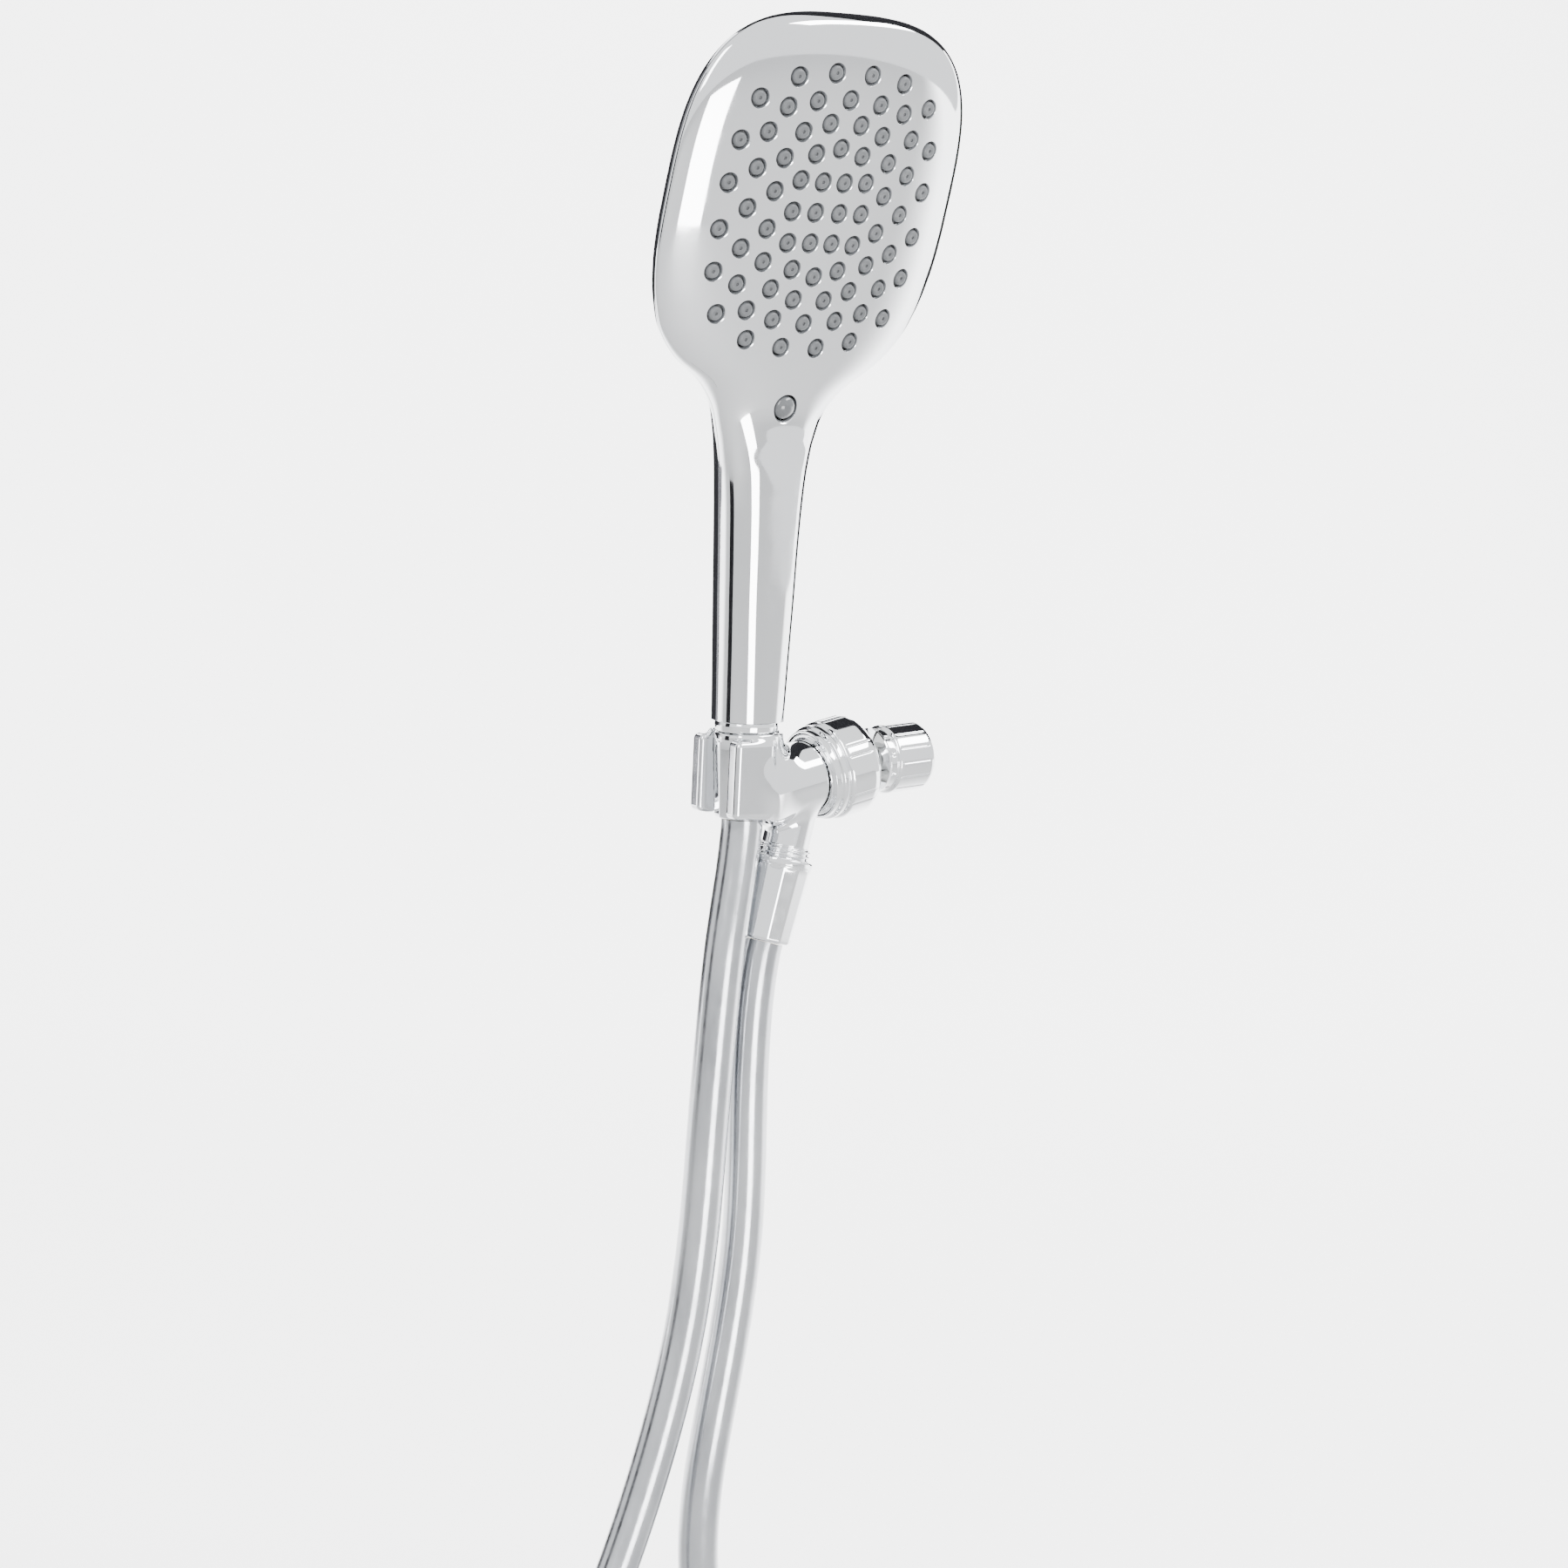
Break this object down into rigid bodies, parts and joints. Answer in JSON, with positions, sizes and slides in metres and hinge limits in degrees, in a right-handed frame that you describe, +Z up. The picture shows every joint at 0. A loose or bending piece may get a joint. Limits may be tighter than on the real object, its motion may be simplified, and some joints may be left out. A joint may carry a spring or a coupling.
{
  "type": "handheld shower head",
  "caption": "Chrome handheld shower head with a large rounded-square spray face, hung in a swivelling ball-joint cradle bracket by its cone nut, with a smooth silver hose looping to the outlet.",
  "frame": {"origin": "centre of the inlet mouth, where the wall pipe's end screws in", "axes": "+Z up along the cradle and the handset's handle, +Y towards the wall, +X the way the handset's face points at rest"},
  "size_m": [0.0738, 0.1947, 0.8855],
  "materials": {
    "chrome_brass": "polished",
    "chrome_plastic": "polished",
    "black_rubber": "satin",
    "steel": "satin",
    "white_plastic": "satin",
    "grey_plastic": "satin",
    "brass": "satin",
    "grey_rubber": "satin",
    "hose_silver": "satin metallic"
  },
  "bodies": {
    "root": {"ball_connector": "chrome_brass", "inlet_washer": "black_rubber", "inlet_screen": "steel", "flow_restrictor": "white_plastic"},
    "front_seat_ring": {"front_seat": "white_plastic"},
    "rear_seat_ring": {"rear_seat": "black_rubber"},
    "bracket": {"bracket_body": "chrome_plastic", "lower_hose_washer": "black_rubber", "lower_hose_insert": "brass", "hose": "hose_silver"},
    "ring": {"ring_nut": "chrome_plastic"},
    "outlet_nut": {"lower_nut": "chrome_brass"},
    "hose_end": {"upper_hose_insert": "brass", "upper_hose_washer": "black_rubber"},
    "handset": {"cone_nut": "chrome_brass", "handle_nipple": "chrome_brass", "water_tube": "white_plastic", "tube_seal": "black_rubber", "rear_shell": "chrome_plastic", "face_plate": "chrome_plastic", "nozzle_mat": "grey_rubber", "spray_disc": "white_plastic", "chamber_cover": "white_plastic", "chamber_seal": "black_rubber", "cover_screw_left": "steel", "cover_screw_right": "steel", "diverter_body": "grey_plastic", "button_spring": "steel"},
    "button": {"mode_button": "grey_rubber", "button_seal": "black_rubber", "diverter_spool": "white_plastic"}
  },
  "joints": [
    {"name": "ball_roll", "type": "hinge", "parent": "root", "child": "front_seat_ring", "pos_m": [0, -0.03492, -0.00232], "axis": [0, 0.9978, 0.0663], "range_deg": [-90, 90]},
    {"name": "ball_pan", "type": "hinge", "parent": "front_seat_ring", "child": "rear_seat_ring", "pos_m": [0, -0.03492, -0.00232], "axis": [0, -0.2011, 0.9796], "range_deg": [-15, 15]},
    {"name": "ball_tilt", "type": "hinge", "parent": "rear_seat_ring", "child": "bracket", "pos_m": [0, -0.03492, -0.00232], "axis": [1, 0, 0], "range_deg": [-22.8, 7.2]},
    {"name": "ring_turn", "type": "hinge", "parent": "bracket", "child": "ring", "pos_m": [0, -0.03492, -0.00232], "axis": [0, 0.9796, 0.2011], "range_deg": [-180, 0]},
    {"name": "outlet_nut_turn", "type": "hinge", "parent": "bracket", "child": "outlet_nut", "pos_m": [0, -0.05579, -0.0066], "axis": [0, 0.225, 0.9744], "range_deg": [-180, 0]},
    {"name": "handset_lift", "type": "slide", "parent": "bracket", "child": "hose_end", "axis": [0, 0, 1], "range_m": [0, 0.045], "deforming": ["hose"]},
    {"name": "handset_turn", "type": "hinge", "parent": "hose_end", "child": "handset", "pos_m": [0, -0.08292, -0.01217], "axis": [0, 0, 1], "continuous": true},
    {"name": "button_press", "type": "slide", "parent": "handset", "child": "button", "axis": [-0.9622, 0, 0.2723], "range_m": [0, 0.0022], "stiffness_N_per_m": 400, "springref_m": -0.002, "deforming": ["button_spring"]}
  ]
}
